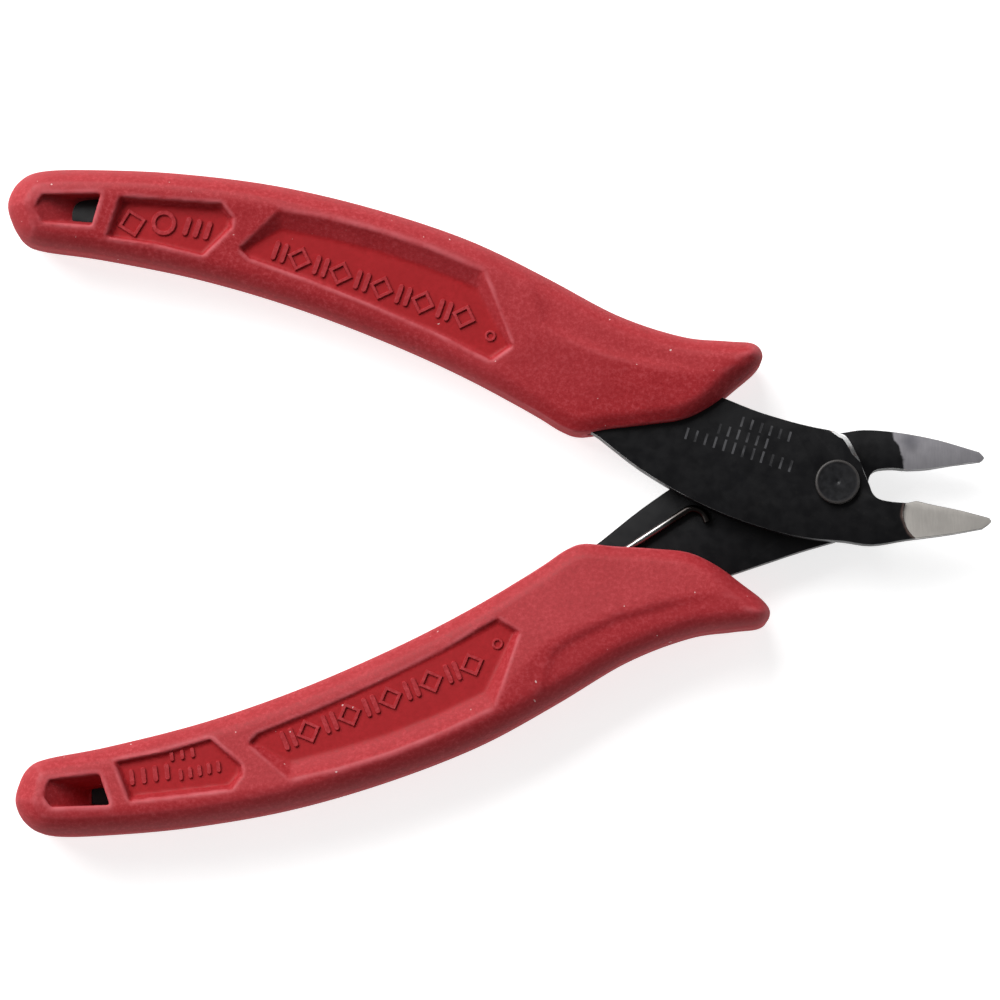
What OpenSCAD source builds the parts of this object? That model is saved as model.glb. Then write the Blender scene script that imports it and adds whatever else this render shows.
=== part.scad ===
// Small flush-cutting diagonal pliers, lying flat with the handles open.
// Two flat levers cross at a rivet. Each lever is one plate that runs from a jaw, through the
// pivot boss, to a tang inside a moulded grip. A bent wire, held in the lower handle, pushes the
// levers open. Both grips are the same moulding, one turned over about the tool's long axis.
// Outlines are in the tool's own plane: the pivot is [0, 0], +X points to the jaws and +Y to the
// front lever's handle. z is measured from the lap plane, where the two plates meet.

/* [Levers] */
// Thickness of each lever plate
plate_t = 2.5; // [2:0.1:3]
// Gap between the two lapped plates
lap_gap = 0.04; // [0.02:0.01:0.08]
// Slope of the ground jaw face towards the tip, in degrees
grind_run = 3.2; // [2:0.2:4]
// Slope of the ground jaw face towards the cutting edge, in degrees
grind_side = 4.5; // [3:0.5:6]

/* [Rivet] */
// Diameter of the rivet heads
head_d = 5.6; // [5:0.1:6.4]
// Height of a rivet head above its plate
head_h = 0.8; // [0.5:0.1:1.2]
// Diameter of the rivet shank
shank_d = 3.6; // [3:0.1:4]
// Radial clearance between the shank and the front lever
shank_clear = 0.03; // [0.02:0.01:0.08]

/* [Spring] */
// Diameter of the spring wire
wire_d = 1; // [0.8:0.1:1.1]
// Length of the straight leg of the spring
leg_l = 19; // [18:0.5:20]
// Direction of the leg at rest, in degrees from the tool's long axis
leg_a = 32; // [31:0.5:33]
// Inside radius of the hooked end
hook_r = 1.2; // [1:0.1:1.3]
// Turn of the hooked end, in degrees
hook_turn = 105; // [90:5:120]

/* [Grips] */
// Overall thickness of each grip
grip_t = 11; // [9.6:0.2:12]
// Depth of the sunk panels in both faces
panel_depth = 1.5; // [0.8:0.1:1.8]
// Height of the slot in the nose that takes the wire
slot_h = 1.25; // [1.2:0.05:1.4]

/* [Hidden] */
cut = 0.5;
// Place of the pivot, with the origin under the middle of the open tool
pivot_x = 42.2;
lap_z = grip_t / 2;
// The two faces of the front plate; the rear plate's are the same below the lap plane
plate_in = lap_gap / 2;
plate_out = plate_in + plate_t;
axial_play = 0.03;
curve_steps = 4;
round_steps = 5;

// ---- smooth curves through hand-placed points ----

function blend4(a, b, c, d, t) =
    0.5 * (2 * b + (c - a) * t + (2 * a - 5 * b + 4 * c - d) * t * t
        + (3 * b - a - 3 * c + d) * t * t * t);

// Closed curve through the points of p
function loop_curve(p) =
    let (n = len(p))
    [for (i = [0 : n - 1], s = [0 : curve_steps - 1])
        blend4(p[(i + n - 1) % n], p[i], p[(i + 1) % n], p[(i + 2) % n], s / curve_steps)];

// Open curve through the points of p, without its last point
function span_curve(p) =
    let (n = len(p), first = 2 * p[0] - p[1], last = 2 * p[n - 1] - p[n - 2])
    [for (i = [0 : n - 2], s = [0 : curve_steps - 1])
        blend4(i == 0 ? first : p[i - 1], p[i], p[i + 1],
            i == n - 2 ? last : p[i + 2], s / curve_steps)];

// ---- lever outlines ----

// Tang edges, shared by both levers; the rear lever's are mirrored in Y
tang_inner = [[-29.7, 6.4], [-38, 12], [-46, 16.9], [-56, 21.8], [-68, 26.6], [-80, 30.4],
    [-92, 33.6]];
tang_end = [[-92, 33.6], [-95.2, 35], [-95.5, 36.6], [-94.6, 37.9], [-92, 38.2]];
tang_outer = [[-92, 38.2], [-80, 37], [-68, 34.8], [-56, 31.2], [-44, 26], [-33, 20.2],
    [-22, 14.9], [-13.9, 11]];
flip_y = [[1, 0], [0, -1]];
throat = [4, -0.3];

front_outline = concat(
    span_curve([[-13.9, 11], [-9.4, 9.1], [-4.4, 7.5], [0.4, 6.35]]),
    span_curve([[0.4, 6.35], [1.4, 5.8], [2.5, 3.8], [3.4, 1.3], throat]),
    span_curve([throat, [4.5, -1.6], [5.6, -2.35], [8.3, -2.75], [9.9, -2.5]]),
    span_curve([[9.9, -2.5], [12, -3.05], [15.5, -3.85], [19, -4.85]]),
    span_curve([[19, -4.85], [19.2, -5.4], [18.2, -6.15]]),
    span_curve([[18.2, -6.15], [14, -6.8], [8.5, -7.4], [4.2, -7.95], [0.5, -7.4], [-3.4, -7],
        [-7.5, -6.1], [-13.5, -4], [-19, -1.3], [-24.7, 2.3], [-29.7, 6.4]]),
    span_curve(tang_inner),
    span_curve(tang_end),
    span_curve(tang_outer));

rear_outline = concat(
    span_curve([[-13.9, -11.2], [-9.4, -9.8], [-4.7, -8.35], [-0.2, -7.15]]),
    span_curve([[-0.2, -7.15], [1.4, -6], [2.6, -4], [3.4, -1.9], throat]),
    span_curve([throat, [4.3, 0.95], [5.2, 1.75], [7.3, 1.9], [9.1, 1.65]]),
    span_curve([[9.1, 1.65], [11.5, 1.7], [14.5, 2.1], [18.4, 2.5]]),
    span_curve([[18.4, 2.5], [18.8, 2.95], [18.2, 3.7]]),
    span_curve([[18.2, 3.7], [13.2, 5.3], [8.2, 6.4], [3.8, 6.85], [0.5, 6.5], [-3.4, 6.3],
        [-8, 5.6], [-13.5, 3.8], [-19, 1.1], [-24.7, -2.6], [-29.7, -6.4]]),
    span_curve(tang_inner * flip_y),
    span_curve(tang_end * flip_y),
    span_curve(tang_outer * flip_y));

// Middle and radius of the round run-out of each jaw's ground face, and its outer edge in Y
front_grind = [[12.2, -4.2], 4.05, -7.4];
rear_grind = [[12.2, 3.6], 4.05, 6.6];

// ---- spring route ----

wire_r = wire_d / 2;
bend_r = hook_r + wire_r;
wire_z = wire_r + 0.05;
hook_mid = [-18.15, -4.4];
leg_end = hook_mid + bend_r * [-sin(leg_a), cos(leg_a)];
anchor = leg_end - leg_l * [cos(leg_a), sin(leg_a)];
anchor_depth = 1.8;
elbow_r = 0.7;
tail_l = 0.5;
wire_sides = 12;

// Stations along the wire, each a place, the heading in plan and the climb, in degrees:
// up the anchor pin, round the elbow, along the leg, round the hook and down the tail
pin_foot = [anchor[0], anchor[1], -anchor_depth];
tail_a = leg_a - hook_turn;
tail_start = hook_mid + bend_r * [-sin(tail_a), cos(tail_a)];
tail_end = tail_start + tail_l * [cos(tail_a), sin(tail_a)];
wire_stations = concat(
    [[pin_foot, leg_a, 90]],
    [for (c = [90 : -15 : 0])
        let (out = elbow_r * (1 - sin(c)))
        [[anchor[0] + out * cos(leg_a), anchor[1] + out * sin(leg_a),
            wire_z - elbow_r * (1 - cos(c))], leg_a, c]],
    [for (h = [leg_a : -15 : tail_a])
        [[hook_mid[0] - bend_r * sin(h), hook_mid[1] + bend_r * cos(h), wire_z], h, 0]],
    [[[tail_end[0], tail_end[1], wire_z], tail_a, 0]]);

// Ring of points round the wire at one station, square to its run
function wire_ring(station) =
    let (h = station[1], c = station[2],
        side = [-sin(h), cos(h), 0],
        up = [-sin(c) * cos(h), -sin(c) * sin(h), cos(c)])
    [for (k = [0 : wire_sides - 1])
        let (a = 360 * k / wire_sides)
        station[0] + wire_r * (cos(a) * side + sin(a) * up)];

// ---- grip outline and its sunk features, for the upper grip ----

// Each point is x, y and the width over which the face rolls down to that edge
grip_points = [[-103.2, 35.5, 2], [-102, 33.4, 1.9], [-99.5, 32.3, 2.1], [-92, 31, 2.6],
    [-80, 28.2, 2.6], [-68, 24.3, 2.6], [-56, 19.4, 2.6], [-46, 14.6, 2.4], [-38, 10.1, 2.2],
    [-34.4, 7.8, 1.9], [-32, 7, 1.8], [-28.5, 7.4, 1.8], [-23, 7.9, 1.8], [-19, 8.45, 1.8],
    [-15.5, 10.1, 1.8], [-12.2, 12.6, 1.5], [-9.7, 14.7, 1.1], [-8.9, 16.3, 1],
    [-10, 17.8, 1.1], [-13.5, 18.2, 1.8], [-19, 18.9, 3], [-27, 21.8, 4.5], [-36, 26.9, 5],
    [-46, 32, 5], [-58, 36.3, 4.4], [-70, 39.4, 3.8], [-82, 41.2, 3.4], [-92, 41.9, 3.2],
    [-99.2, 41.9, 2.8], [-102.2, 40.6, 2.2], [-103.6, 38, 2]];

// Outlines of the two panels sunk in each face
main_panel = [[-74.2, 31.1], [-73.2, 30], [-66, 27.2], [-58, 23.8], [-50, 20.1], [-43.1, 16.3],
    [-40.5, 18], [-44, 26.5], [-50.7, 29.4], [-56.7, 31.6], [-63.1, 33.3], [-69.3, 34.6]];
small_panel = [[-91, 33.1], [-85, 32.1], [-79.1, 30.5], [-75.5, 33.9], [-75.4, 34.9],
    [-76.7, 36.4], [-89.1, 37.5]];
// Hang pocket near the end of the handle, which opens onto the end of the tang
pocket = [[-100, 37.3], [-99.1, 38.5], [-91.7, 38.4], [-93.1, 34.2], [-99.1, 34.9]];
// Wedge-shaped slot in the nose, on the far side of the lap plane from the tang
wire_slot = [[-36.6, 12.6], [-29.5, 5.8], [-14.6, 9.4], [-16, 11.4], [-20, 12.4], [-35.6, 14.4]];

// Direction into the grip from point i of the closed curve p
function inward(p, i) =
    let (n = len(p), a = p[(i + n - 1) % n], b = p[(i + 1) % n],
        d = [b[0] - a[0], b[1] - a[1]])
    [-d[1], d[0]] / norm(d);

// One level of the grip: the outline drawn in by a share of its edge widths
function level(p, share, z) =
    [for (i = [0 : len(p) - 1])
        let (q = [p[i][0], p[i][1]] + share * p[i][2] * inward(p, i))
        [q[0], q[1], z]];

// Solid between stacked levels that all have the same number of points
module stack(levels) {
    n = len(levels[0]);
    top = len(levels) - 1;
    polyhedron(
        points = [for (l = levels) each l],
        faces = concat(
            [[for (i = [0 : n - 1]) i]],
            [[for (i = [n - 1 : -1 : 0]) top * n + i]],
            [for (l = [0 : top - 1], i = [0 : n - 1])
                let (j = (i + 1) % n)
                [l * n + i, (l + 1) * n + i, (l + 1) * n + j, l * n + j]]),
        convexity = 10);
}

// Slab with flat faces, whose edges roll over, each by its own width. The rolled solid is a
// little too thick, so that the flat faces are cut clean
module rolled_slab(points, half_t) {
    p = loop_curve(points);
    side_h = 1.9;
    edge_h = half_t + 0.2 - side_h;
    angles = [for (k = [0 : round_steps]) 90 - 90 * k / round_steps];
    lower = [for (a = angles) level(p, 1 - cos(a), -side_h - edge_h * sin(a))];
    upper = [for (a = angles) level(p, 1 - cos(a), side_h + edge_h * sin(a))];
    intersection() {
        stack(concat(lower, [for (k = [round_steps : -1 : 0]) upper[k]]));
        translate([-110, 0, -half_t]) cube([110, 50, 2 * half_t]);
    }
}

// Cutter for both panels in the face at +z
module face_panels()
    translate([0, 0, lap_z - panel_depth]) linear_extrude(panel_depth + cut) {
        polygon(main_panel);
        polygon(small_panel);
    }

// Tang outline that both the lever and the hollow in its grip follow
module tang_area()
    polygon(front_outline);

// Hang pocket from the face down to height z. The wall at its outer end leans back from upright
// by lean_a degrees, as a ramp down to the end of the tang
module pocket_cutter(z) {
    lean_a = 38;
    intersection() {
        translate([0, 0, z]) linear_extrude(lap_z - z + cut) polygon(pocket);
        translate([-99.6, 30, lap_z - 0.6]) rotate([0, -lean_a, 0])
            translate([0, 0, -10]) cube([14, 12, 20]);
    }
}

// The moulding, as it sits on the front lever
module grip_moulding()
    difference() {
        rolled_slab(grip_points, lap_z);
        face_panels();
        mirror([0, 0, 1]) face_panels();
        translate([0, 0, plate_in]) linear_extrude(plate_t) tang_area();
        pocket_cutter(plate_out - cut);
        mirror([0, 0, 1]) pocket_cutter(-cut);
        translate([0, 0, -slot_h]) linear_extrude(slot_h + cut) polygon(wire_slot);
    }

// Cutter for a jaw's ground outer face, at +z; side is -1 for the lower jaw and 1 for the upper
module grind_cutter(grind, side) {
    mid = grind[0];
    radius = grind[1];
    intersection() {
        translate([mid[0] - radius, grind[2], plate_out])
            rotate([side * grind_side, grind_run, 0])
                translate([-2, -15, 0]) cube([22, 30, 6]);
        linear_extrude(plate_out + cut) union() {
            translate(mid) circle(r = radius, $fn = 96);
            translate([mid[0], mid[1] - radius - 2]) square([12, 2 * radius + 4]);
        }
    }
}

// Flat lever plate above the lap plane, with its rivet hole
module lever_plate(outline, hole_r, grind, side)
    difference() {
        translate([0, 0, plate_in]) linear_extrude(plate_t) polygon(outline);
        cylinder(h = 2 * plate_out, r = hole_r, center = true, $fn = 96);
        grind_cutter(grind, side);
    }

// ---- the six pieces, in the tool's own plane ----

module in_place()
    translate([pivot_x, 0, lap_z]) children();

module front_lever()
    color("dimgray") in_place()
        lever_plate(front_outline, shank_d / 2 + shank_clear, front_grind, -1);

module rear_lever()
    color("dimgray") in_place() difference() {
        mirror([0, 0, 1]) lever_plate(rear_outline, shank_d / 2, rear_grind, 1);
        translate([anchor[0], anchor[1], -anchor_depth])
            cylinder(h = 2 * anchor_depth, d = wire_d, $fn = 48);
    }

module pivot_rivet()
    color("gray") in_place() {
        shank_r = shank_d / 2;
        head_r = head_d / 2;
        front_z = plate_out + axial_play;
        rotate_extrude($fn = 96) polygon([
            [0, -plate_out - head_h], [head_r - 0.7, -plate_out - head_h],
            [head_r, -plate_out - head_h + 0.4], [head_r, -plate_out], [shank_r, -plate_out],
            [shank_r, front_z], [head_r, front_z], [head_r, front_z + head_h - 0.45],
            [head_r - 0.45, front_z + head_h], [head_r - 0.75, front_z + head_h],
            [head_r - 0.95, front_z + head_h - 0.15], [0.45, front_z + head_h - 0.15],
            [0, front_z + head_h - 0.5]]);
    }

module return_spring()
    color("silver") in_place() stack([for (station = wire_stations) wire_ring(station)]);

module upper_grip()
    color("firebrick") in_place() grip_moulding();

module lower_grip()
    color("firebrick") in_place() rotate([180, 0, 0]) grip_moulding();

front_lever();
rear_lever();
pivot_rivet();
return_spring();
upper_grip();
lower_grip();
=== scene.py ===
import itertools
import math

import bmesh
import bpy
import numpy as np
import openvdb
from mathutils import Matrix, Vector


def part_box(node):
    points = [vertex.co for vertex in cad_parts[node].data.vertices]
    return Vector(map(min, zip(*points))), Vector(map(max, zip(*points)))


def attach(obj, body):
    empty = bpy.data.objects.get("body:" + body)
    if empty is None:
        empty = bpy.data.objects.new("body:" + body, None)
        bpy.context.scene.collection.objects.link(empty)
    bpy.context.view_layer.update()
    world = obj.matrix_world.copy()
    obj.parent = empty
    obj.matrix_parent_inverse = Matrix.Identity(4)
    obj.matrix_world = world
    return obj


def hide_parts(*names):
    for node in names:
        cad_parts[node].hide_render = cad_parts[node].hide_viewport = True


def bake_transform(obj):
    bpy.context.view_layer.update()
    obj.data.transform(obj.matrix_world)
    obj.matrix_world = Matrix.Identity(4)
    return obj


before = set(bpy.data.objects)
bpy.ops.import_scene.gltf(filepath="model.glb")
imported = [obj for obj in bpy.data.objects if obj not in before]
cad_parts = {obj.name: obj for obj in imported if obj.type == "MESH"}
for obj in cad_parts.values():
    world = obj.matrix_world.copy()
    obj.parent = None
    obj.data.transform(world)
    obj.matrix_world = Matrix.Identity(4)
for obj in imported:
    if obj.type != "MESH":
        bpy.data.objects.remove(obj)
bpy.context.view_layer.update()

# Shapes are worked out in millimetres in the tool's own plane: the pivot is [0, 0], +X points to
# the jaws, +Y to the front lever's handle, and z is measured from the lap plane.
MM = 0.001
rivet_low, rivet_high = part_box("pivot_rivet")
grip_low, grip_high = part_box("upper_grip")
HALF_T = (grip_high.z - grip_low.z) / 2 / MM
ORIGIN = Vector(((rivet_low.x + rivet_high.x) / 2, (rivet_low.y + rivet_high.y) / 2,
                 (grip_low.z + grip_high.z) / 2))

# Upper grip's outline: x, y, the width and the depth over which the face rolls down to that edge,
# and how crisp the roll is, from 2 for a round one to 1 for a flat chamfer
GRIP_OUTLINE = [
    [-103.2, 35.5, 3, 2.6, 1.35], [-102, 33.4, 2.8, 2.6, 1.5], [-99.5, 32.3, 2.7, 2.4, 1.8],
    [-92, 31, 2.8, 2.2, 1.8], [-80, 28.2, 2.8, 2.2, 1.8], [-68, 24.3, 2.8, 2.2, 1.8],
    [-56, 19.4, 2.7, 2, 1.8], [-46, 14.6, 2.4, 1.8, 1.6], [-38, 10.1, 2, 1.1, 1.25],
    [-34.4, 7.8, 1.9, 0.9, 1.12], [-32, 7, 1.9, 0.85, 1.1], [-28.5, 7.4, 1.8, 0.85, 1.1],
    [-23, 7.9, 1.8, 0.9, 1.12], [-19, 8.45, 1.9, 1.2, 1.25], [-15.5, 10.1, 2.3, 2, 1.6],
    [-12.2, 12.6, 3, 2.8, 1.8], [-9.7, 14.7, 3.1, 3, 2], [-8.9, 16.3, 2.8, 3, 2],
    [-10, 17.8, 2.8, 3, 2], [-13.5, 18.2, 2.9, 2.8, 1.9], [-19, 18.9, 2.9, 2.5, 1.8],
    [-27, 21.8, 3, 2.5, 1.8], [-36, 26.9, 3.1, 2.6, 1.7], [-46, 32, 3.3, 2.8, 1.65],
    [-58, 36.3, 3.2, 2.9, 1.6], [-70, 39.4, 2.9, 2.9, 1.6], [-82, 41.2, 2.8, 2.9, 1.6],
    [-92, 41.9, 2.8, 2.9, 1.6], [-99.2, 41.9, 2.8, 2.9, 1.6], [-102.2, 40.6, 3, 2.8, 1.5],
    [-103.6, 38, 3, 2.6, 1.35]]

# The sunk panels: the rim is where a panel's wall leaves the face, and the floor is its foot. The
# floor is PANEL_DEPTH deep at the crest of the face, and falls from there to the inner edge
MAIN_RIM = [[-74.6, 31.2], [-73.4, 29.8], [-66, 27], [-58, 23.6], [-50, 19.8], [-43, 16],
            [-40.2, 18], [-43.6, 27.6], [-50.5, 30.7], [-56.5, 32.9], [-63, 34.7], [-69.4, 35.9]]
MAIN_FLOOR = [[-73.9, 31], [-73, 30.2], [-66, 27.5], [-58, 24.1], [-50, 20.4], [-43.2, 16.7],
              [-41, 18], [-44.8, 25.4], [-51, 28.2], [-57, 30.4], [-63.2, 32.1], [-69.2, 33.5]]
SMALL_RIM = [[-91.3, 33], [-85, 31.9], [-79, 30.3], [-75.1, 33.8], [-75, 35], [-76.4, 36.9],
             [-89.3, 38.1]]
SMALL_FLOOR = [[-90.5, 33.2], [-85, 32.3], [-79.2, 30.7], [-75.8, 33.9], [-75.7, 34.9],
               [-76.9, 36.2], [-89, 37.3]]
PANEL_DEPTH = 1.55
FLOOR_FALL = 0.055
# Share of a panel's wall, at its foot, over which the look changes to the floor's
FLOOR_BLEND = 0.2
# Hang pocket: its rim, which ends with its inner wall, the x and height of the top edge of the ramp
# at its outer end, that ramp's lean in the front and in the back face, how fast its inner wall
# comes in with depth, and the heights of its two floors, which lie inside the tang's thickness,
# so that the tang's faces show
POCKET = [[-100.1, 36.8], [-99, 38.5], [-91.7, 38.4], [-93.1, 34.2], [-98.9, 34.8]]
RAMP_TOP = (-99.8, 5.1)
RAMP_LEANS = (58.5, 47)
INNER_WALL_DRAFT = 0.34
POCKET_FLOORS = (2.02, 0.5)
# Slot in the moulding for the spring's wire, beside the tang's lap face, and how far it reaches
# past the lap plane
WIRE_SLOT = [[-36.6, 12.6], [-29.5, 5.8], [-14.6, 9.4], [-16, 11.4], [-20, 12.4],
             [-35.6, 14.4]]
SLOT_H = 1.25
# Crest of the faces, from the butt along the panels' outer rims, then along the nose to the horn
CREST = [[-104, 37.2], [-99, 38.5], [-92, 38.8], [-82, 38.1], [-70, 36.5], [-58, 33.4],
         [-50, 30.4], [-44.5, 27.4], [-40.5, 23.4], [-37.5, 20.1], [-33.8, 18.2], [-29, 16.3],
         [-23, 14.6], [-17, 13.7], [-9, 15.5]]
# Fall of the face from the crest to the inner and to the outer edge
INWARD_FALL = 0.19
OUTWARD_FALL = 0.05
# Scoop in the nose between the crest and the outer edge: its rim, its depth and the width over
# which it is reached
SCOOP_RIM = [[-40, 32], [-38.9, 26.2], [-36.9, 20.4], [-33.8, 18.4], [-28.7, 16.2], [-22, 14.5],
             [-17, 13.7], [-11, 14.5], [-11, 24], [-25, 30]]
SCOOP = 0.3
SCOOP_STEP = 1.4
# Where along the tool the scoop fades in from the panel's end and out before the horn
SCOOP_IN = (-40, -34.5)
SCOOP_OUT = (-24, -14.5)
# Half width of the rounding along the crest, and the radii between the body and the face, the
# pocket and the slot
CREST_ROUND = 0.4
FACE_ROUND = 0.4
POCKET_ROUND = 0.35
SLOT_ROUND = 0.3
# Convexity at which an edge begins to look lighter, worn and with a painted highlight, and at which
# it is fully lighter
WEAR_AND_HIGHLIGHT_FROM, WEAR_AND_HIGHLIGHT_TO = 0.015, 0.08
GRID = 0.25


# ---- fields on a grid, for the grips ----

def smooth_loop(points, steps=8):
    """Closed Catmull-Rom curve through rows of numbers"""
    b = np.array(points, float)
    a, c, d = np.roll(b, 1, 0), np.roll(b, -1, 0), np.roll(b, -2, 0)
    spans = [0.5 * (2 * b + (c - a) * t + (2 * a - 5 * b + 4 * c - d) * t * t
                    + (3 * b - a - 3 * c + d) * t ** 3) for t in np.arange(steps) / steps]
    return np.stack(spans, 1).reshape(-1, b.shape[1])


def loop_distance(x, y, loop):
    """Signed distance to a closed loop, positive inside, and the loop's further columns there"""
    loop = np.array(loop, float)
    best = np.full(x.shape, 1e9)
    inside = np.zeros(x.shape, bool)
    extra = np.zeros(x.shape + (loop.shape[1] - 2,))
    for a, b in zip(loop, np.roll(loop, -1, 0)):
        run = b - a
        t = np.clip(((x - a[0]) * run[0] + (y - a[1]) * run[1]) / (run[:2] @ run[:2]), 0, 1)
        gap = np.hypot(x - a[0] - t * run[0], y - a[1] - t * run[1])
        near = gap < best
        best = np.where(near, gap, best)
        extra[near] = a[2:] + t[near][:, None] * run[2:]
        if a[1] != b[1]:
            crosses = (a[1] > y) != (b[1] > y)
            inside ^= crosses & (x < a[0] + run[0] * (y - a[1]) / run[1])
    return np.where(inside, best, -best), extra


def path_distance(x, y, path):
    """Distance to an open path, positive above it and negative below"""
    path = np.array(path, float)
    best = np.full(x.shape, 1e9)
    for a, b in zip(path, path[1:]):
        run = b - a
        t = np.clip(((x - a[0]) * run[0] + (y - a[1]) * run[1]) / (run @ run), 0, 1)
        best = np.minimum(best, np.hypot(x - a[0] - t * run[0], y - a[1] - t * run[1]))
    return best * np.sign(y - np.interp(x, path[:, 0], path[:, 1]))


def ease(value, low, high):
    """0 below low, 1 above high and a smooth step between"""
    t = np.clip((value - low) / (high - low), 0, 1)
    return t * t * (3 - 2 * t)


def soft_max(a, b, r):
    """The larger of a and b, with the corner between them rounded over r"""
    h = np.clip(0.5 + 0.5 * (a - b) / r, 0, 1)
    return b + (a - b) * h + r * h * (1 - h) / 2


def panel_share(x, y, rim, floor):
    """How far down a panel's wall each point is: 0 at the rim, 1 on the floor"""
    run = np.maximum(loop_distance(x, y, rim)[0], 0)
    rest = np.maximum(-loop_distance(x, y, floor)[0], 0)
    return run / (run + rest + 1e-6)


def floor_height(x, y):
    """Height of a panel's floor above the lap plane"""
    return HALF_T - PANEL_DEPTH + FLOOR_FALL * np.minimum(path_distance(x, y, CREST), 0)


def face_shape(x, y):
    """Heights above the lap plane of the grip's face without and with its panels, and each place's
    share of panel floor"""
    sunk = np.maximum(panel_share(x, y, MAIN_RIM, MAIN_FLOOR),
                      panel_share(x, y, SMALL_RIM, SMALL_FLOOR))
    off_crest = path_distance(x, y, CREST)
    inward = (np.hypot(np.minimum(off_crest, 0), CREST_ROUND) - CREST_ROUND) * INWARD_FALL
    outward = np.maximum(off_crest, 0) * OUTWARD_FALL
    scoop = ease(loop_distance(x, y, SCOOP_RIM)[0], 0, SCOOP_STEP) * SCOOP
    scoop *= ease(x, *SCOOP_IN) * (1 - ease(x, *SCOOP_OUT))
    crowned = HALF_T - inward - outward - scoop
    panel = floor_height(x, y)
    return crowned, crowned + (panel - crowned) * sunk, ease(sunk, 1 - FLOOR_BLEND, 1)


def slope_scaled(field, spacing):
    """A field scaled so that it measures distance near where it is 0"""
    steep = np.sqrt(sum(g * g for g in np.gradient(field, spacing)))
    return field / np.maximum(steep, 0.2)


def grip_axes():
    """Grid places along x, y and z, with some room round the moulding"""
    pad = 4 * GRID
    xs = np.arange(grip_low.x / MM - ORIGIN.x / MM - pad, grip_high.x / MM - ORIGIN.x / MM + pad,
                   GRID)
    ys = np.arange(grip_low.y / MM - pad, grip_high.y / MM + pad, GRID)
    zs = np.arange(-HALF_T - pad, HALF_T + pad + GRID, GRID)
    return xs, ys, zs


def rolled_body(x, y, z, crowned):
    """Field of the moulding without its panels and holes, with its edges rolled down"""
    inner, extra = loop_distance(x, y, smooth_loop(GRIP_OUTLINE))
    width, depth, power = extra[..., 0], extra[..., 1, None], extra[..., 2, None]
    across = np.maximum(1 - inner / width, 0)[..., None]
    up = np.maximum((abs(z) - crowned[..., None]) / depth + 1, 0)
    roll = (across ** power + up ** power) ** (1 / power) - 1
    return slope_scaled(roll * depth, GRID)


def below_face(face, z):
    """Signed distance to the two faces, negative between them"""
    gx, gy = np.gradient(face, GRID)
    lean = 1 / np.sqrt(1 + gx * gx + gy * gy)
    return (abs(z) - face[..., None]) * lean[..., None]


def pocket_field(x, y, z):
    """Signed distance to the hang pocket, positive inside it"""
    ramp = np.radians(np.where(z > sum(POCKET_FLOORS) / 2, *RAMP_LEANS))
    sloped = (x[..., None] - RAMP_TOP[0]) * np.cos(ramp) + (abs(z) - RAMP_TOP[1]) * np.sin(ramp)
    inner_xs, inner_ys = zip(POCKET[-1], POCKET[-2])
    inner_wall = y - np.interp(x, inner_xs, inner_ys)
    drafted = inner_wall[..., None] - INNER_WALL_DRAFT * (HALF_T - abs(z))
    outline = loop_distance(x, y, POCKET)[0][..., None]
    hole = np.minimum(np.minimum(outline, drafted), sloped)
    return np.minimum(hole, np.maximum(z - POCKET_FLOORS[0], POCKET_FLOORS[1] - z))


def slot_field(x, y, z):
    """Signed distance to the wire's slot, positive inside it"""
    outline = loop_distance(x, y, WIRE_SLOT)[0][..., None]
    return np.minimum(outline, np.minimum(z + SLOT_H, POCKET_FLOORS[1] - z))


def grip_field():
    """Signed distance to the moulding as it sits on the front lever, negative inside, its axes,
    and the share of panel floor over x and y"""
    xs, ys, zs = grip_axes()
    x, y = np.meshgrid(xs, ys, indexing="ij")
    z = zs[None, None, :]
    crowned, face, floor = face_shape(x, y)
    body = rolled_body(x, y, z, crowned)
    body = soft_max(body, below_face(face, z), FACE_ROUND)
    body = soft_max(body, pocket_field(x, y, z), POCKET_ROUND)
    body = soft_max(body, slot_field(x, y, z), SLOT_ROUND)
    return body, (xs, ys, zs), floor


def convexity(field, reach=2):
    """How far a field's mean over a small box round each place stands above it: the rounder and
    the sharper an edge, the more"""
    mean = field
    for axis in range(3):
        mean = sum(np.roll(mean, k, axis) for k in range(-reach, reach + 1)) / (2 * reach + 1)
    return mean - field


# ---- meshes ----

def new_object(name, points, faces, smooth=True):
    mesh = bpy.data.meshes.new(name)
    mesh.from_pydata([tuple(p) for p in points], [], [tuple(f) for f in faces])
    mesh.validate()
    mesh.update()
    mesh.polygons.foreach_set("use_smooth", [smooth] * len(mesh.polygons))
    obj = bpy.data.objects.new(name, mesh)
    bpy.context.collection.objects.link(obj)
    return obj


def to_row(points, turned=False):
    """Points in the tool's plane as points in the row frame. A turned part is rolled over X"""
    p = np.array(points, float)
    if turned:
        p = p * [1, -1, -1]
    return p * MM + np.array(ORIGIN)


def sample(field, axes, points):
    """A field's values at points, blended from the grid places round each, over its own axes"""
    low, share = [], []
    for k, axis in enumerate(axes):
        place = np.clip((points[:, k] - axis[0]) / GRID, 0, len(axis) - 1.001)
        low.append(place.astype(int))
        share.append(place - low[-1])
    total = 0
    for corner in itertools.product((0, 1), repeat=len(axes)):
        weight = np.prod([t if c else 1 - t for c, t in zip(corner, share)], axis=0)
        total = total + weight * field[tuple(i + c for i, c in zip(low, corner))]
    return total


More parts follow.
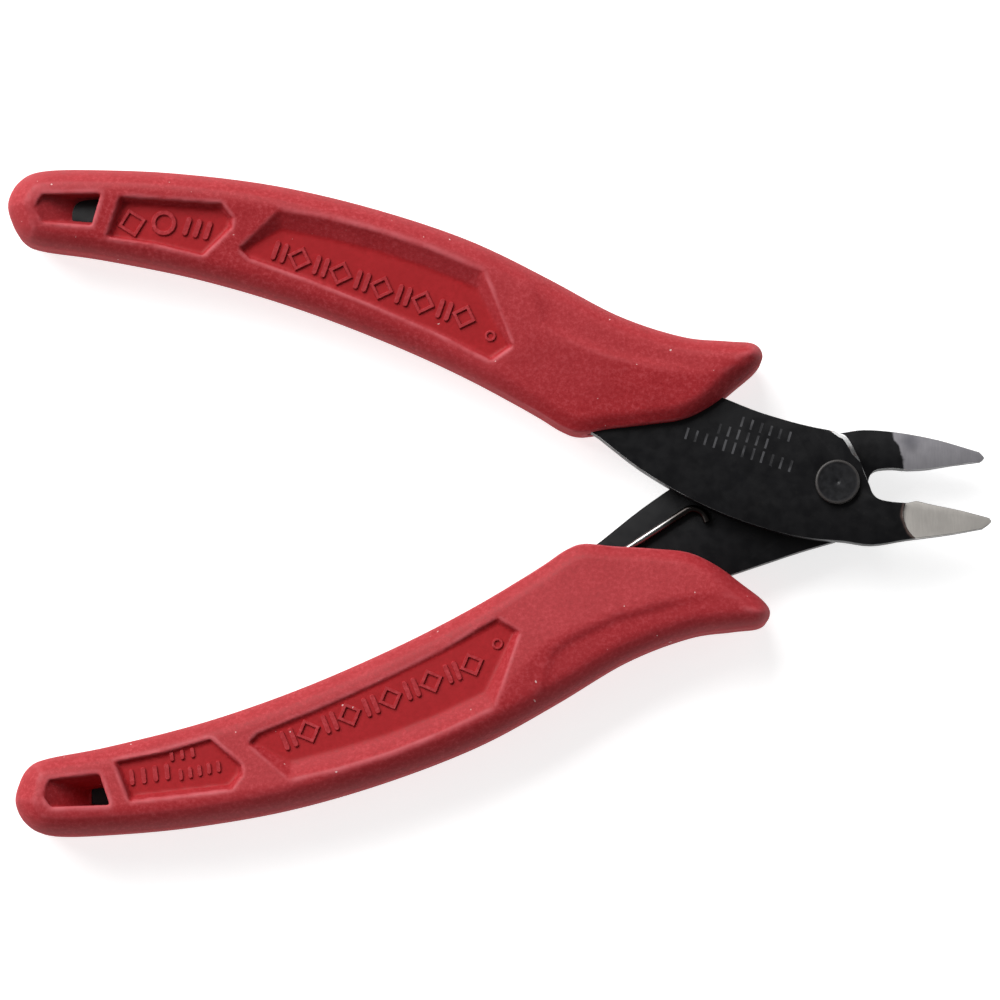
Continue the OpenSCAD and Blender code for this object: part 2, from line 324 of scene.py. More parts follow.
def grip_mesh():
    """Points and faces of the moulding, and each point's share of panel floor and of lighter edge,
    worn and with a painted highlight
    """
    field, (xs, ys, zs), floor = grip_field()
    grid = openvdb.FloatGrid(4 * GRID)
    grid.copyFromArray(np.ascontiguousarray(field, np.float32))
    points, triangles, quads = grid.convertToPolygons(0.0, 0.0)
    places = points * GRID + [xs[0], ys[0], zs[0]]
    x, y, z = places.T
    on_floor = ease(abs(z) - floor_height(x, y), -0.4, -0.1)
    # Lighter convex edges: partly wear, partly a painted highlight
    worn = ease(sample(convexity(field), (xs, ys, zs), places), WEAR_AND_HIGHLIGHT_FROM, WEAR_AND_HIGHLIGHT_TO)
    looks = {"panel_floor": sample(floor, (xs, ys), places) * on_floor, "worn_and_highlit_edge": worn}
    return places, [*triangles, *quads], looks


def add_grip(name, moulding, turned, body, material):
    places, faces, looks = moulding
    obj = new_object(name, to_row(places, turned), faces)
    for look, values in looks.items():
        attribute = obj.data.attributes.new(look, "FLOAT", "POINT")
        attribute.data.foreach_set("value", values.astype(np.float32))
    flip_outward(obj)
    obj.data.materials.append(material)
    finish_piece(obj, body, "grip_rubber", name.replace("_skin", ""))
    return obj


def flip_outward(obj):
    bm = bmesh.new()
    bm.from_mesh(obj.data)
    bmesh.ops.recalc_face_normals(bm, faces=bm.faces)
    bm.to_mesh(obj.data)
    bm.free()


def finish_piece(obj, body, slot, *nodes):
    if nodes:
        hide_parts(*nodes)
    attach(obj, body)


# ---- raised marks on the panel floors ----

# How far a mark goes into the floor, the share of its height below the chamfer, and the chamfer
MARK_ROOT = 0.2
MARK_SIDE = 0.6
MARK_CHAMFER = 0.09
# Heights of the marks in the main panel and the front face, in the back face, and of the small ring
MARK_H = 0.28
BACK_MARK_H = 0.26
SMALL_RING_H = 0.22


def capsule(a, b, r, steps=6):
    """Outline of a bar with round ends from a to b"""
    heading = math.atan2(b[1] - a[1], b[0] - a[0])
    turns = np.linspace(-math.pi / 2, math.pi / 2, steps + 1)
    ends = [(b, heading + t) for t in turns] + [(a, heading + math.pi + t) for t in turns]
    return [[c[0] + r * math.cos(t), c[1] + r * math.sin(t)] for c, t in ends]


def circle(centre, r, sides, start=0.0):
    turns = start + np.arange(sides) * 2 * math.pi / sides
    return [[centre[0] + r * math.cos(t), centre[1] + r * math.sin(t)] for t in turns]


def raised_block(outline, height):
    """Closed block on a level floor, with its top edge drawn in by a chamfer"""
    flat = np.array(outline)
    middle = flat.mean(0)
    size = np.abs(flat - middle).max()
    n = len(flat)
    rings = [(0, -MARK_ROOT), (0, height * MARK_SIDE), (MARK_CHAMFER / size, height)]
    points = [[*(p + (middle - p) * draw), level] for draw, level in rings for p in flat]
    faces = [[k * n + i, k * n + (i + 1) % n, (k + 1) * n + (i + 1) % n, (k + 1) * n + i]
             for k in range(2) for i in range(n)]
    return points, [list(range(n))[::-1], list(range(2 * n, 3 * n))] + faces


def raised_ring(centre, r, width, sides, height, start=0.0):
    """Closed ring on a level floor, with chamfered top edges"""
    outer, inner = r + width / 2, r - width / 2
    rings = [(outer, -MARK_ROOT), (outer, height * MARK_SIDE), (outer - MARK_CHAMFER, height),
             (inner + MARK_CHAMFER, height), (inner, height * MARK_SIDE), (inner, -MARK_ROOT)]
    points = [[*p, level] for radius, level in rings for p in circle(centre, radius, sides, start)]
    faces = []
    for k in range(len(rings)):
        here, there = k * sides, (k + 1) % len(rings) * sides
        faces += [[here + i, here + (i + 1) % sides, there + (i + 1) % sides, there + i]
                  for i in range(sides)]
    return points, faces


def row_of_bars(first, last, count, length, lean, r, height):
    """Leaning bars in a row between two places"""
    half = np.array([math.sin(lean), math.cos(lean)]) * (length / 2 - r)
    return [raised_block(capsule(place - half, place + half, r), height)
            for place in np.linspace(first, last, count)]


def main_row():
    """Two bars and a lozenge, repeated along the main panel"""
    first, last = np.array((-69.9, 30.9)), np.array((-44.8, 21.3))
    along = (last - first) / np.hypot(*(last - first))
    lean = math.atan2(-along[1], along[0])
    height, repeats, pitch = 2.6, 5, 5.5
    bar_gap, bar_r, lozenge_at, lozenge_width = 1.15, 0.3, 3.2, 0.62
    parts = []
    for k in range(repeats):
        start = first + along * k * pitch
        parts += row_of_bars(start, start + along * bar_gap, 2, height, lean, bar_r, MARK_H)
        parts.append(raised_ring(start + along * lozenge_at, height / 2, lozenge_width, 4, MARK_H,
                                 -lean))
    return parts


def grip_marks(face):
    """All the marks on one face of the moulding: +1 is the face above the front lever"""
    parts = main_row()
    parts.append(raised_ring((-43.1, 19.4), 0.55, 0.35, 16, SMALL_RING_H))
    if face > 0:
        parts.append(raised_ring((-87.9, 34.8), 1.55, 0.62, 4, MARK_H, 0.2))
        parts.append(raised_ring((-83.9, 34.7), 1.3, 0.6, 24, MARK_H))
        parts += row_of_bars((-81, 34.2), (-78.4, 33.6), 3, 2.5, 0.35, 0.34, MARK_H)
    else:
        parts += row_of_bars((-89, 35), (-84.6, 34.4), 4, 2.1, 0.1, 0.3, BACK_MARK_H)
        parts += row_of_bars((-82.9, 34.8), (-78.2, 33.9), 5, 1.5, 0.1, 0.26, BACK_MARK_H)
        parts += row_of_bars((-84, 32.5), (-81.4, 32.1), 3, 1.3, 0.1, 0.25, BACK_MARK_H)
    return [(stand_on_floor(points, face), faces) for points, faces in parts]


def stand_on_floor(points, face):
    """Points above a level floor, moved onto the sloped floors of one face of the moulding"""
    x, y, level = np.array(points, float).T
    return np.stack([x, y, face * (floor_height(x, y) + level)], 1).tolist()


def add_marks(name, turned, body, material):
    points, faces = [], []
    for part_points, part_faces in grip_marks(1) + grip_marks(-1):
        faces += [[i + len(points) for i in f] for f in part_faces]
        points += part_points
    obj = new_object(name, to_row(points, turned), faces, smooth=False)
    flip_outward(obj)
    obj.data.materials.append(material)
    finish_piece(obj, body, "grip_rubber")
    return obj


# ---- levers, rivet and spring ----

# Widths of the bevel along a lever's sharp edges, and along the ground shoulder
EDGE_BEVEL = 0.15
SHOULDER_BEVEL = 0.6
# Where the ground shoulder lies in the tool's plane, and a height just under the lever's face
SHOULDER_X = (0.2, 3.6)
SHOULDER_Y = (3.2, 6.6)
SHOULDER_Z = 2.4
# Angle above which an edge of a lever is sharp and gets a bevel
SHARP = math.radians(40)


def is_shoulder(edge):
    """Edges of a lever's front face that are ground round above the throat"""
    middle = (edge.verts[0].co + edge.verts[1].co) / 2 - ORIGIN
    x, y, z = middle / MM
    return (SHOULDER_X[0] < x < SHOULDER_X[1] and SHOULDER_Y[0] < y < SHOULDER_Y[1]
            and z > SHOULDER_Z)


def sharp_edges(bm):
    return [e for e in bm.edges if len(e.link_faces) == 2 and e.calc_face_angle() > SHARP]


def lever_mesh(node, shoulder):
    """The CAD lever's mesh with its flat faces joined up and its edges rounded: the bevels take the
    material slots 1 and, at the shoulder, 2"""
    bm = bmesh.new()
    bm.from_mesh(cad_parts[node].data)
    bmesh.ops.remove_doubles(bm, verts=bm.verts, dist=1e-7)
    bmesh.ops.dissolve_limit(bm, angle_limit=math.radians(0.6), verts=bm.verts, edges=bm.edges)
    if shoulder:
        ground = [e for e in sharp_edges(bm) if is_shoulder(e)]
        bmesh.ops.bevel(bm, geom=ground, offset=SHOULDER_BEVEL * MM, segments=4, profile=0.5,
                        affect="EDGES", material=2, clamp_overlap=False)
    bmesh.ops.bevel(bm, geom=sharp_edges(bm), offset=EDGE_BEVEL * MM, segments=2, profile=0.6,
                    affect="EDGES", material=1, clamp_overlap=True)
    bmesh.ops.remove_doubles(bm, verts=bm.verts, dist=0.005 * MM)
    bmesh.ops.dissolve_degenerate(bm, dist=0.005 * MM, edges=bm.edges)
    bmesh.ops.recalc_face_normals(bm, faces=bm.faces)
    return bm


def add_lever(name, node, body, materials, shoulder):
    mesh = bpy.data.meshes.new(name)
    bm = lever_mesh(node, shoulder)
    bm.to_mesh(mesh)
    bm.free()
    for material in materials:
        mesh.materials.append(material)
    obj = bpy.data.objects.new(name, mesh)
    bpy.context.collection.objects.link(obj)
    mesh.polygons.foreach_set("use_smooth", [True] * len(mesh.polygons))
    mesh.set_sharp_from_angle(angle=math.radians(32))
    finish_piece(obj, body, "lever_steel", node)
    return obj


def lathe(name, profile, turns, material):
    """A turned piece round the pivot, from pairs of radius and height"""
    n = len(profile)
    points, faces = [], []
    for k in range(turns):
        a = 2 * math.pi * k / turns
        points += [[r * math.cos(a), r * math.sin(a), z] for r, z in profile]
        follow = (k + 1) % turns
        faces += [[k * n + i, follow * n + i, follow * n + i + 1, k * n + i + 1]
                  for i in range(n - 1)]
    obj = new_object(name, to_row(points), faces)
    bm = bmesh.new()
    bm.from_mesh(obj.data)
    bmesh.ops.remove_doubles(bm, verts=bm.verts, dist=1e-7)
    bmesh.ops.recalc_face_normals(bm, faces=bm.faces)
    bm.to_mesh(obj.data)
    bm.free()
    obj.data.materials.append(material)
    return obj


def arc(centre, r, start, end, steps=5):
    """Points on a round corner of a profile, from one angle to another in degrees"""
    turns = np.radians(np.linspace(start, end, steps + 1))
    return [[centre[0] + r * math.cos(t), centre[1] + r * math.sin(t)] for t in turns]


def rivet_profile():
    """Half section of the rivet, from the back head's middle round to the front head's"""
    head = (rivet_high.x - rivet_low.x) / 2 / MM
    back = (rivet_low.z - ORIGIN.z) / MM
    front = (rivet_high.z - ORIGIN.z) / MM
    # Height of a head's inner side, just past the plates' faces, and the shank's radius
    plates, shank = 2.55, 1.8
    back_inset, back_round, front_round = 0.08, 0.62, 0.22
    back_end = arc((head - back_inset - back_round, back + back_round), back_round, -90, 0)
    front_end = arc((head - front_round, front - front_round), front_round, 0, 90)
    rim = [[head - 0.3, front], [head - 0.45, front - 0.03], [head - 0.6, front - 0.04]]
    dimple = [[0.45, front - 0.04], [0.3, front - 0.06], [0.12, front - 0.16], [0, front - 0.18]]
    return ([[0, back + 0.12], [0.5, back + 0.02]] + back_end
            + [[head - back_inset, -plates], [shank, -plates], [shank, plates], [head, plates]]
            + front_end + rim + dimple)


# The spring's wire is a pin in the lower handle, an elbow, a straight leg, a hook and a short tail.
# All places are those of the wire's middle. Radii of the wire, of the hook's bend and of the elbow:
WIRE_R = 0.5
BEND_R = 1.7
ELBOW_R = 0.7
# Headings of the leg and of the tail, and the middle of the hook's bend between them
LEG_A = math.radians(32)
TAIL_A = math.radians(32 - 105)
HOOK_MID = np.array([-18.15, -4.4])
# Lengths of the leg and of the tail, and heights of the leg and of the pin's foot
LEG_L = 19
TAIL_L = 0.5
WIRE_Z = 0.55
PIN_FOOT = -1.8


def heading(a):
    return np.array([math.cos(a), math.sin(a)])


def on_bend(a):
    """Place on the hook's bend where the wire's heading is a"""
    return HOOK_MID + BEND_R * heading(a + math.pi / 2)


def wire_route():
    """Places along the wire and the direction in which it runs at each, and the leg's anchor"""
    run = heading(LEG_A)
    anchor = on_bend(LEG_A) - LEG_L * run
    route = [((*anchor, PIN_FOOT), (0, 0, 1))]
    for c in np.linspace(math.pi / 2, 0, 9):
        out = ELBOW_R * (1 - math.sin(c))
        route.append(((*(anchor + out * run), WIRE_Z - ELBOW_R * (1 - math.cos(c))),
                      (*(run * math.cos(c)), math.sin(c))))
    for share in np.linspace(0.1, 0.95, 16):
        place = anchor + (ELBOW_R + share * (LEG_L - ELBOW_R)) * run
        route.append(((*place, WIRE_Z), (*run, 0)))
    for a in np.linspace(LEG_A, TAIL_A, 22):
        route.append(((*on_bend(a), WIRE_Z), (*heading(a), 0)))
    tail = np.array(route[-1][0]) + TAIL_L * np.array([*heading(TAIL_A), 0])
    route.append((tuple(tail), (*heading(TAIL_A), 0)))
    return route, anchor


def wire_mesh(route, sides=20):
    """Rings round the route, with small chamfers at its two cut ends"""
    chamfer, cut_end = 0.12, 0.7
    tail, tail_run = route[-1]
    tip = tuple(np.array(tail) + chamfer * np.array(tail_run))
    stations = ([(*route[0], cut_end)] + [(*step, 1) for step in route]
                + [(tip, tail_run, cut_end)])
    upright_side = Vector((-math.sin(LEG_A), math.cos(LEG_A), 0))
    points = []
    for place, run, swell in stations:
        run = Vector(run).normalized()
        upright = abs(run.z) > 0.99
        side = upright_side if upright else Vector((-run.y, run.x, 0)).normalized()
        up = run.cross(side)
        points += [Vector(place) + WIRE_R * swell * (side * math.cos(t) + up * math.sin(t))
                   for t in np.arange(sides) * 2 * math.pi / sides]
    count = len(stations)
    faces = [[k * sides + i, k * sides + (i + 1) % sides, (k + 1) * sides + (i + 1) % sides,
              (k + 1) * sides + i] for k in range(count - 1) for i in range(sides)]
    caps = [list(range(sides))[::-1], list(range((count - 1) * sides, count * sides))]
    return points, faces + caps


def add_spring(material):
    route, anchor = wire_route()
    points, faces = wire_mesh(route)
    obj = new_object("spring_wire", to_row([tuple(p) for p in points]), faces)
    flip_outward(obj)
    obj.data.set_sharp_from_angle(angle=math.radians(40))
    obj.data.materials.append(material)
    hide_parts("return_spring")
    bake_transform(obj)
    return obj


# ---- node materials ----

class Shader:
    """A material's node tree, with short calls for the nodes used here"""

    def __init__(self, name):
        self.material = bpy.data.materials.new(name)
        self.material.use_nodes = True
        self.tree = self.material.node_tree
        self.out = self.tree.nodes["Principled BSDF"]
        self.coordinates = self.tree.nodes.new("ShaderNodeTexCoord")
        self.place = self.coordinates.outputs["Object"]

    def put(self, socket, value):
        if isinstance(value, bpy.types.NodeSocket):
            self.tree.links.new(value, socket)
        elif value is not None:
            socket.default_value = value

    def set(self, **values):
        for name, value in values.items():
            self.put(self.out.inputs[name.replace("_", " ")], value)

    def math(self, operation, a, b=None, clamp=False):
        node = self.tree.nodes.new("ShaderNodeMath")
        node.operation = operation
        node.use_clamp = clamp
        for socket, value in zip(node.inputs, (a, b)):
            self.put(socket, value)
        return node.outputs[0]

    def vector(self, operation, a, b):
        node = self.tree.nodes.new("ShaderNodeVectorMath")
        node.operation = operation
        self.put(node.inputs[0], a)
        self.put(node.inputs[1], b)
        return node.outputs["Vector"]

    def noise(self, scale, detail=2.0, rough=0.5, stretch=None):
        """Noise with its features 1 / scale metres across"""
        place = self.vector("MULTIPLY", self.place, stretch) if stretch else self.place
        node = self.tree.nodes.new("ShaderNodeTexNoise")
        self.put(node.inputs["Vector"], place)
        node.inputs["Scale"].default_value = scale
        node.inputs["Detail"].default_value = detail
        node.inputs["Roughness"].default_value = rough
        return node.outputs["Fac"]

    def ramp(self, value, *stops):
        """A colour ramp through pairs of place and colour, or place and grey"""
        node = self.tree.nodes.new("ShaderNodeValToRGB")
        elements = node.color_ramp.elements
        while len(elements) < len(stops):
            elements.new(0.5)
        for element, (place, colour) in zip(elements, stops):
            element.position = place
            grey = isinstance(colour, (int, float))
            element.color = (colour, colour, colour, 1) if grey else (*colour, 1)
        self.put(node.inputs[0], value)
        return node.outputs[0]

    def span(self, value, low, high, out_low=0.0, out_high=1.0, smooth=True):
        """Maps low to high onto out_low to out_high, and holds the ends"""
        node = self.tree.nodes.new("ShaderNodeMapRange")
        node.interpolation_type = "SMOOTHSTEP" if smooth else "LINEAR"
        for name, number in (("From Min", low), ("From Max", high), ("To Min", out_low),
                             ("To Max", out_high)):
            node.inputs[name].default_value = number
        self.put(node.inputs["Value"], value)
        return node.outputs["Result"]

    def mix(self, share, a, b):
        """Colour a where share is 0, and b where it is 1"""
        node = self.tree.nodes.new("ShaderNodeMix")
        node.data_type = "RGBA"
        self.put(node.inputs["Factor"], share)
        for name, value in (("A", a), ("B", b)):
            socket = next(s for s in node.inputs if s.name == name and s.type == "RGBA")
            self.put(socket, (*value, 1) if isinstance(value, tuple) else value)
        return next(s for s in node.outputs if s.type == "RGBA")

    def bump(self, height, distance, strength, after=None):
        """Relief as high as distance in metres, added to the normal of an earlier relief"""
        node = self.tree.nodes.new("ShaderNodeBump")
        node.inputs["Distance"].default_value = distance
        node.inputs["Strength"].default_value = strength
        self.put(node.inputs["Height"], height)
        self.put(node.inputs["Normal"], after)
        return node.outputs["Normal"]

    def attribute(self, name):
        node = self.tree.nodes.new("ShaderNodeAttribute")
        node.attribute_name = name
        return node.outputs["Fac"]

    def facing_up(self):
        """Height of the surface's unit normal: 1 on a level face, 0 on an upright side"""
        node = self.tree.nodes.new("ShaderNodeSeparateXYZ")
        self.put(node.inputs[0], self.coordinates.outputs["Normal"])
        return node.outputs[2]

    def in_tool(self):
        """x, y and z in the tool's plane, in millimetres"""
        moved = self.vector("SUBTRACT", self.place, tuple(ORIGIN))
        scaled = self.vector("MULTIPLY", moved, (1 / MM, 1 / MM, 1 / MM))
        node = self.tree.nodes.new("ShaderNodeSeparateXYZ")
        self.put(node.inputs[0], scaled)
        return node.outputs[0], node.outputs[1], node.outputs[2]


def rubber():
    """Matt red rubber: speckled on the faces, lighter along the edges from wear and from a painted
    highlight, rougher on the sides, and smoother and deeper red in the sunk panels, with some dust"""
    s = Shader("red_rubber")
    floor = s.attribute("panel_floor")
    speckle = s.noise(2000, 3.0, 0.75)
    mottle = s.noise(260, 4.0, 0.65)
    cloud = s.noise(45, 3.0, 0.5)
    face = s.ramp(speckle, (0.3, (0.31, 0.011, 0.016)), (0.5, (0.38, 0.021, 0.027)),
                  (0.7, (0.47, 0.050, 0.060)))
    face = s.mix(s.span(mottle, 0.35, 0.7, 0, 0.35), face, (0.29, 0.012, 0.016))
    face = s.mix(s.span(cloud, 0.4, 0.7, 0, 0.2), face, (0.42, 0.045, 0.055))
    sunk = s.ramp(speckle, (0.3, (0.31, 0.005, 0.008)), (0.7, (0.39, 0.009, 0.014)))
    sunk = s.mix(s.span(mottle, 0.3, 0.7, 0, 0.5), sunk, (0.30, 0.005, 0.008))
    # Convex edges lighter and pinker: partly wear, partly a painted highlight
    rubbed_and_highlit = s.math("MULTIPLY", s.attribute("worn_and_highlit_edge"), s.span(mottle, 0.3, 0.65, 0.25, 0.8))
    colour = s.mix(floor, s.mix(rubbed_and_highlit, face, (0.53, 0.10, 0.115)), sunk)
    dust = s.span(s.noise(1500, 1.0, 0.4), 0.80, 0.83, 0, 0.8)
    colour = s.mix(dust, colour, (0.75, 0.55, 0.53))
    rougher_side = s.span(s.math("ABSOLUTE", s.facing_up()), 0.1, 0.6, 0.3, 0)
    s.set(Base_Color=colour, Specular_IOR_Level=0.25)
    s.set(Roughness=s.math("ADD", s.span(speckle, 0.3, 0.7, 0.5, 0.64), rougher_side))
    grain = s.mix(floor, s.ramp(speckle, (0.3, 0.0), (0.7, 1.0)), (0.5, 0.5, 0.5))
    normal = s.bump(grain, 0.00003, 0.45)
    s.set(Normal=s.bump(mottle, 0.00008, 0.3, normal))
    return s.material


def etched_rows(s):
    """Mask of three rows of short etched ticks on the front lever. A row runs from first to last
    along the lever, and its ticks reach half their height to each side of its middle"""
    x, y, z = s.in_tool()
    lean, half_pitch, tick = math.radians(-19), 0.62, 0.14
    along = s.math("ADD", s.math("MULTIPLY", x, math.cos(lean)),
                   s.math("MULTIPLY", y, math.sin(lean)))
    across = s.math("SUBTRACT", s.math("MULTIPLY", y, math.cos(lean)),
                    s.math("MULTIPLY", x, math.sin(lean)))
    rows = ((-20.7, -5.8, 0.2, 0.75), (-16.6, -9.6, 2.0, 0.65), (-14.3, -6.4, 3.7, 0.65))
    mask = None
    for first, last, middle, half in rows:
        off = s.math("ABSOLUTE", s.math("SUBTRACT", across, middle))
        band = s.math("MULTIPLY", s.math("LESS_THAN", off, half),
                      s.math("MULTIPLY", s.math("GREATER_THAN", along, first),
                             s.math("LESS_THAN", along, last)))
        teeth = s.math("LESS_THAN", s.math("PINGPONG", along, half_pitch), tick)
        one = s.math("MULTIPLY", band, teeth)
        mask = one if mask is None else s.math("MAXIMUM", mask, one)
    worn = s.span(s.noise(500, 1.0), 0.35, 0.6, 0.3, 1)
    return s.math("MULTIPLY", s.math("MULTIPLY", mask, worn), s.math("GREATER_THAN", z, 2))


def steel_looks(s, black, bare, share, relief):
    """Sets black oxide where share is 0 and bare steel where it is 1, with a relief over both"""
    s.set(Base_Color=s.mix(share, black, bare), Metallic=s.math("MULTIPLY", share, 0.4))
    s.set(Roughness=s.span(s.noise(700, 3.0), 0.3, 0.7, 0.38, 0.5))
    s.set(Specular_IOR_Level=0.28, Normal=relief)


def black_oxide_colour(s):
    """Near black, a little uneven"""
    cloud = s.noise(120, 4.0, 0.6)
    fine = s.noise(1800, 3.0, 0.6)
    base = s.ramp(cloud, (0.35, (0.0016, 0.0015, 0.0022)), (0.7, (0.003, 0.003, 0.004)))
    return s.mix(s.span(fine, 0.55, 0.8, 0, 0.3), base, (0.012, 0.011, 0.010))


def ground_colour(s, warm):
    """Bare ground steel of a given tint with stains, and the grinding lines for its relief"""
    lines = s.noise(1500, 2.0, 0.6, stretch=(3, 0.4, 1))
    stain = s.noise(420, 5.0, 0.6)
    low = tuple(c * 0.92 for c in warm)
    colour = s.mix(s.span(lines, 0.3, 0.7), low, warm)
    return s.mix(s.span(stain, 0.5, 0.75, 0, 0.18), colour, tuple(c * 0.6 for c in warm)), lines


def in_circle(s, x, y, centre, r, fuzz):
    """Share of a point inside a circle with a soft edge, all in millimetres"""
    dx = s.math("SUBTRACT", x, centre[0])
    dy = s.math("SUBTRACT", y, centre[1])
    gap = s.math("SQRT", s.math("ADD", s.math("MULTIPLY", dx, dx), s.math("MULTIPLY", dy, dy)))
    return s.span(gap, r + fuzz, r - fuzz)


# The ground face of a jaw: it begins with the round mark of the wheel, and is bare past GRIND_X
FRONT_GRIND = (12.2, -4.2)
REAR_GRIND = (12.2, 3.6)
GRIND_R = 4.05
GRIND_X = (12.1, 12.3)
# Heights from the lap plane beyond which a jaw's outer side and a lever's outer face lie
OUTER_SIDE = 1.4
OUTER_FACE = 2.3


def grind_mark(s, x, y, middle):
    """Shares of the wheel's round mark, and of all the ground face"""
    disc = in_circle(s, x, y, middle, GRIND_R, 0.06)
    return disc, s.math("MAXIMUM", disc, s.span(x, *GRIND_X))


def front_lever_steel():
    """Black plate whose ground jaw face is bare; the ticks are etched near the handle"""
    s = Shader("front_lever_steel")
    x, y, z = s.in_tool()
    wobble = s.span(s.noise(600, 2.0), 0.3, 0.7, -0.12, 0.12, smooth=False)
    xw = s.math("ADD", x, wobble)
    disc, ground = grind_mark(s, xw, y, FRONT_GRIND)
    ground = s.math("MULTIPLY", ground, s.math("GREATER_THAN", z, OUTER_SIDE))
    halo = in_circle(s, xw, y, FRONT_GRIND, 4.3, 0.2)
    rust = s.math("MULTIPLY", s.math("SUBTRACT", halo, disc, clamp=True),
                  s.math("GREATER_THAN", z, OUTER_FACE))
    black = s.mix(s.math("MULTIPLY", rust, 0.8), black_oxide_colour(s), (0.12, 0.08, 0.07))
    ticks = etched_rows(s)
    black = s.mix(s.math("MULTIPLY", ticks, 0.85), black, (0.08, 0.08, 0.085))
    bare, lines = ground_colour(s, (0.55, 0.52, 0.485))
    darker_tip = s.span(x, 15.4, 17.4, 0, 0.3)
    bare = s.mix(darker_tip, bare, (0.38, 0.365, 0.345))
    relief = s.bump(lines, 0.000004, 0.5, s.bump(ticks, -0.00003, 0.6))
    steel_looks(s, black, bare, ground, relief)
    return s.material


def rear_lever_steel():
    """Black plate that is bare on its jaw, on the lap face and on the ground face under it"""
    s = Shader("rear_lever_steel")
    x, y, z = s.in_tool()
    wobble = s.span(s.noise(500, 3.0), 0.3, 0.7, -0.25, 0.25, smooth=False)
    xw = s.math("ADD", x, wobble)
    slant = s.math("SUBTRACT", xw, s.span(y, 3.0, 6.5, 0, -1.5, smooth=False))
    lap = s.math("MULTIPLY", s.span(slant, 8.55, 8.9), s.math("GREATER_THAN", z, -0.6))
    under = s.math("MULTIPLY", grind_mark(s, xw, y, REAR_GRIND)[1],
                   s.math("LESS_THAN", z, -OUTER_SIDE))
    bare, lines = ground_colour(s, (0.30, 0.29, 0.31))
    bruise = in_circle(s, xw, y, (9.6, 5.2), 0.9, 0.9)
    bare = s.mix(s.math("MULTIPLY", bruise, 0.6), bare, (0.07, 0.07, 0.085))
    bare_share = s.math("MAXIMUM", lap, under)
    steel_looks(s, black_oxide_colour(s), bare, bare_share, s.bump(lines, 0.000004, 0.5))
    return s.material


def worn_and_highlit_edge_steel(name, bright, amount, low_y, high_y):
    """Edges where the black has rubbed through to steel in places, and a painted highlight on the
    side that faces the key
    light: hardly below low_y, fully above high_y, and not at the tangs' ends"""
    s = Shader(name)
    x, y, _ = s.in_tool()
    rub_and_highlight = s.span(s.noise(420, 4.0, 0.6), 0.62 - amount, 0.75 - amount * 0.6)
    # Painted highlight: the bright edge fades out away from the +Y side, which faces the key light
    rub_and_highlight = s.math("MULTIPLY", rub_and_highlight, s.span(y, low_y, high_y, 0.1, 1))
    off_tang_end = s.span(x, -42, -34)
    rub_and_highlight = s.math("MULTIPLY", rub_and_highlight, off_tang_end)
    fleck = s.span(s.noise(1300, 2.0), 0.6, 0.68)
    worn = s.mix(s.math("MULTIPLY", fleck, 0.5), (bright, bright, bright), (0.30, 0.10, 0.05))
    steel_looks(s, (0.016, 0.016, 0.017), worn, rub_and_highlight, s.bump(rub_and_highlight, 0.00001, 0.4))
    return s.material


def rivet_steel():
    """Black rivet with a painted highlight: its rim is coloured a little lighter all round"""
    s = Shader("rivet_black")
    fine = s.noise(1500, 4.0, 0.6)
    face = s.ramp(fine, (0.35, (0.003, 0.003, 0.004)), (0.7, (0.007, 0.007, 0.009)))
    x, y, _ = s.in_tool()
    # Painted highlight: a lighter ring round the head's rim
    rim = s.math("SUBTRACT", 1, in_circle(s, x, y, (0, 0), 2.5, 0.12))
    colour = s.mix(s.math("MULTIPLY", rim, 0.8), face, (0.05, 0.045, 0.043))
    s.set(Base_Color=colour, Roughness=s.span(fine, 0.3, 0.7, 0.38, 0.5))
    s.set(Specular_IOR_Level=0.4, Normal=s.bump(fine, 0.000005, 0.4))
    return s.material


def wire_steel():
    """Bright drawn wire that goes dark at the hook"""
    s = Shader("drawn_wire")
    x, _, _ = s.in_tool()
    dark = s.math("MULTIPLY", s.span(x, -24, -20), 0.95)
    lines = s.noise(700, 3.0, 0.6)
    bright = s.ramp(lines, (0.3, (0.26, 0.25, 0.25)), (0.7, (0.42, 0.41, 0.40)))
    s.set(Base_Color=s.mix(dark, bright, (0.02, 0.016, 0.014)), Metallic=1.0)
    s.set(Roughness=s.span(lines, 0.3, 0.7, 0.2, 0.3))
    s.set(Normal=s.bump(lines, 0.000006, 0.5))
    return s.material


# ---- the set ----

def area_light(name, place, width, height, power):
    """A soft light that points at the origin"""
    data = bpy.data.lights.new(name, "AREA")
    data.shape = "RECTANGLE"
    data.size = width
    data.size_y = height
    data.energy = power
    obj = bpy.data.objects.new(name, data)
    obj.location = place
    obj.rotation_euler = (-Vector(place)).to_track_quat("-Z", "Y").to_euler()
    bpy.context.collection.objects.link(obj)


def add_floor():
    """Pale floor that glows a little, so that it comes out nearly white"""
    s = Shader("pale_floor")
    grain = s.noise(90, 3.0)
    s.set(Base_Color=s.ramp(grain, (0.3, 0.58), (0.7, 0.62)), Roughness=0.85)
    s.set(Emission_Color=(1, 1, 1, 1), Emission_Strength=0.76, Specular_IOR_Level=0.1)
    half = 3.0
    corners = [(-half, -half, 0), (half, -half, 0), (half, half, 0), (-half, half, 0)]
    floor = new_object("floor", corners, [(0, 1, 2, 3)], smooth=False)
    floor.data.materials.append(s.material)


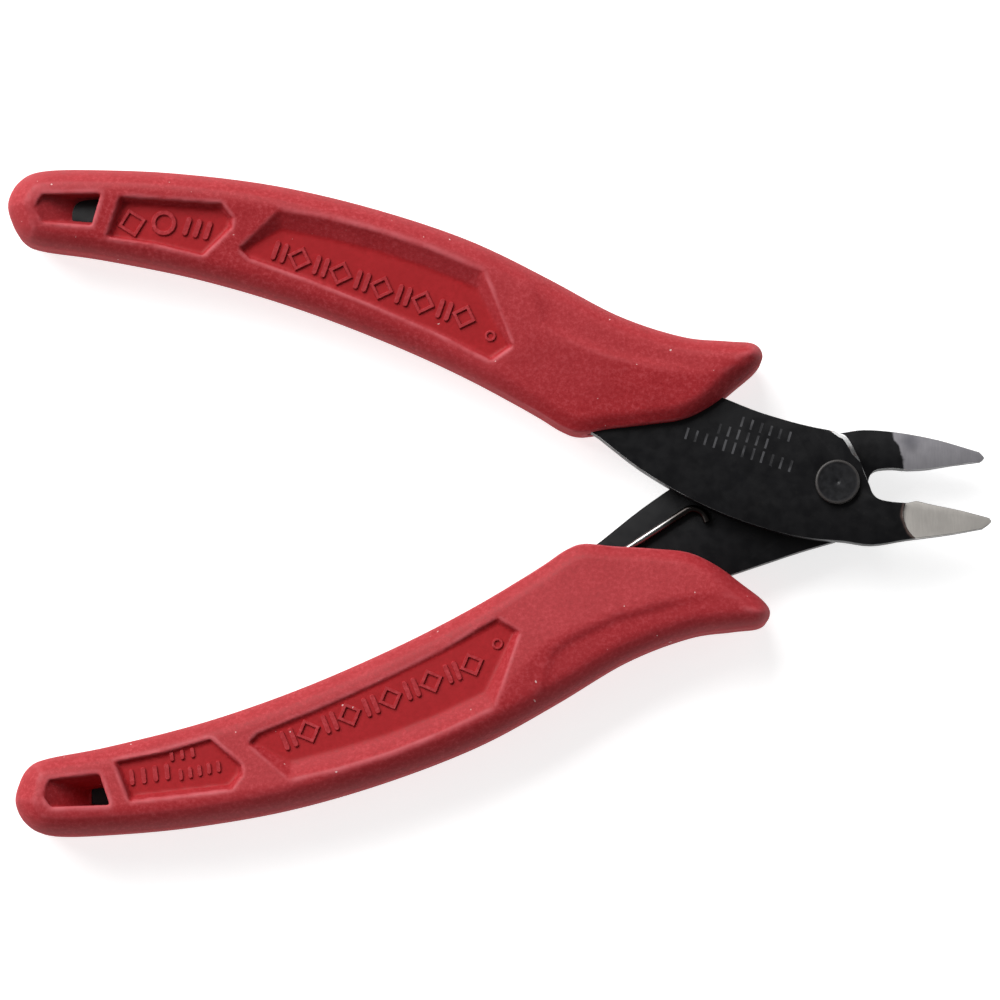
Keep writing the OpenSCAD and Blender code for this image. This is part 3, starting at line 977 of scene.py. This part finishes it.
def add_light():
    world = bpy.data.worlds.new("studio")
    world.use_nodes = True
    sky = world.node_tree.nodes["Background"]
    sky.inputs["Color"].default_value = (1, 1, 1, 1)
    sky.inputs["Strength"].default_value = 0.12
    bpy.context.scene.world = world
    area_light("key", (-0.45, 0.62, 0.64), 1.0, 0.6, 15.2)
    area_light("fill_left", (-0.95, -0.2, 0.6), 0.5, 0.5, 1.2)
    area_light("fill_right", (0.95, 0.2, 0.5), 0.5, 0.5, 0.8)


def add_camera():
    """Looks down at the tool from a little in front, at the photograph's angle and distance"""
    elevation = math.radians(84)
    turn = math.radians(-1.34)
    distance = 0.6
    data = bpy.data.cameras.new("camera")
    data.sensor_width = 36
    data.lens = 171.4
    data.clip_start, data.clip_end = 0.05, 10
    camera = bpy.data.objects.new("camera", data)
    target = Vector((-0.00017, -0.00096, ORIGIN.z))
    back = Vector((0, -math.cos(elevation), math.sin(elevation)))
    tilt = Matrix.Rotation(math.pi / 2 - elevation, 4, "X") @ Matrix.Rotation(turn, 4, "Z")
    camera.matrix_world = Matrix.Translation(target + back * distance) @ tilt
    bpy.context.collection.objects.link(camera)
    bpy.context.scene.camera = camera


def build():
    red = rubber()
    moulding = grip_mesh()
    add_grip("upper_grip_skin", moulding, turned=False, body="front_half", material=red)
    add_grip("lower_grip_skin", moulding, turned=True, body="rear_half", material=red)
    add_marks("upper_grip_marks", turned=False, body="front_half", material=red)
    add_marks("lower_grip_marks", turned=True, body="rear_half", material=red)
    # The edge and shoulder bevels are lighter from wear and from a painted highlight
    edge = worn_and_highlit_edge_steel("worn_and_highlit_edge", bright=0.45, amount=0.3, low_y=-4, high_y=3)
    shoulder = worn_and_highlit_edge_steel("worn_and_highlit_shoulder", bright=0.9, amount=0.45, low_y=4, high_y=5.6)
    add_lever("front_lever_plate", "front_lever", "front_half",
              (front_lever_steel(), edge, shoulder), shoulder=True)
    add_lever("rear_lever_plate", "rear_lever", "rear_half",
              (rear_lever_steel(), edge, shoulder), shoulder=False)
    rivet = lathe("rivet", rivet_profile(), 96, rivet_steel())
    finish_piece(rivet, "rear_half", "rivet_steel", "pivot_rivet")
    add_spring(wire_steel())


bpy.context.scene.view_settings.view_transform = "Standard"
add_floor()
add_light()
add_camera()
build()
